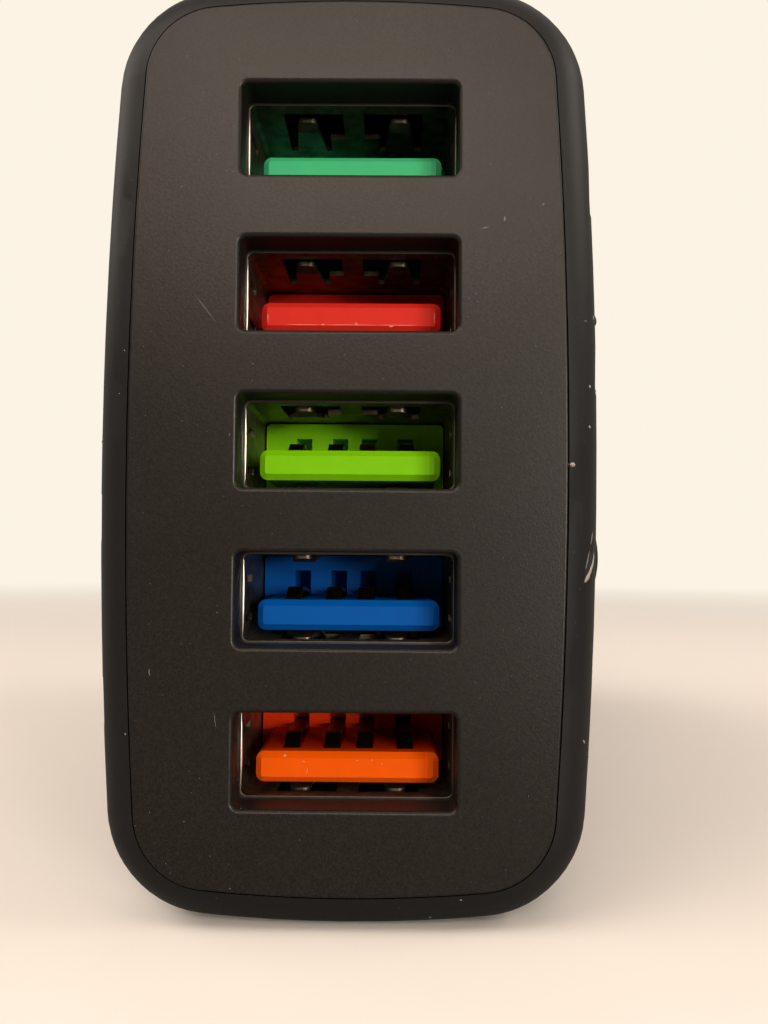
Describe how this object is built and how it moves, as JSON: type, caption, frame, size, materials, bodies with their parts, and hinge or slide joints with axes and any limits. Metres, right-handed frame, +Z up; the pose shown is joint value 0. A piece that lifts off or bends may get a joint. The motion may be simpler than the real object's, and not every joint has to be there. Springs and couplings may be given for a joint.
{
  "type": "usb charger",
  "caption": "Black plug-in USB charger: a bowed housing with two plug pins at the back, and a matte front panel with a column of sockets whose tongues differ in colour.",
  "frame": {"origin": "middle of the box's bottom, where the charger stands on its lower end", "axes": "+Y from the front panel to the plug pins, +Z up along the column of sockets, +X to the right as seen from the front"},
  "size_m": [0.0298, 0.102, 0.0562],
  "materials": {
    "housing_plastic": "satin moulded polycarbonate",
    "panel_plastic": "spark-textured moulded polycarbonate",
    "tongue_mint": "moulded thermoplastic",
    "tongue_red": "moulded thermoplastic",
    "tongue_lime": "moulded thermoplastic",
    "tongue_blue": "moulded thermoplastic",
    "tongue_orange": "moulded thermoplastic",
    "shell_metal": "nickel-plated sheet",
    "contact_metal": "plated spring bronze",
    "pin_metal": "nickel-plated brass",
    "sleeve_plastic": "moulded sleeve",
    "strip_brass": "rolled strip",
    "board_laminate": "glass-epoxy laminate with solder mask",
    "ferrite": "sintered ferrite",
    "bobbin_plastic": "phenolic moulding",
    "winding_tape": "polyester tape over copper",
    "capacitor_sleeve": "shrink sleeve over aluminium",
    "x_capacitor_box": "moulded box",
    "y_capacitor_coat": "dipped epoxy",
    "device_epoxy": "moulded epoxy",
    "sink_aluminium": "mill finish"
  },
  "bodies": {
    "root": {"housing": "housing_plastic", "front_panel": "panel_plastic", "port_1_shell": "shell_metal", "port_1_insulator": "tongue_mint", "port_1_contacts": "contact_metal", "port_2_shell": "shell_metal", "port_2_insulator": "tongue_red", "port_2_contacts": "contact_metal", "port_3_shell": "shell_metal", "port_3_insulator": "tongue_lime", "port_3_contacts": "contact_metal", "port_4_shell": "shell_metal", "port_4_insulator": "tongue_blue", "port_4_contacts": "contact_metal", "port_5_shell": "shell_metal", "port_5_insulator": "tongue_orange", "port_5_contacts": "contact_metal", "live_pin": "pin_metal", "live_pin_sleeve": "sleeve_plastic", "live_contact_strip": "strip_brass", "neutral_pin": "pin_metal", "neutral_pin_sleeve": "sleeve_plastic", "neutral_contact_strip": "strip_brass", "port_board": "board_laminate", "power_board": "board_laminate", "port_controllers": "device_epoxy", "transformer_core": "ferrite", "transformer_bobbin": "bobbin_plastic", "transformer_winding": "winding_tape", "primary_capacitor_1": "capacitor_sleeve", "primary_capacitor_2": "capacitor_sleeve", "output_capacitor_1": "capacitor_sleeve", "output_capacitor_2": "capacitor_sleeve", "fuse": "device_epoxy", "bridge_rectifier": "device_epoxy", "x_capacitor": "x_capacitor_box", "y_capacitor": "y_capacitor_coat", "switch_transistor": "device_epoxy", "heat_sink": "sink_aluminium", "output_rectifier": "device_epoxy", "optocoupler": "device_epoxy"}
  },
  "joints": []
}
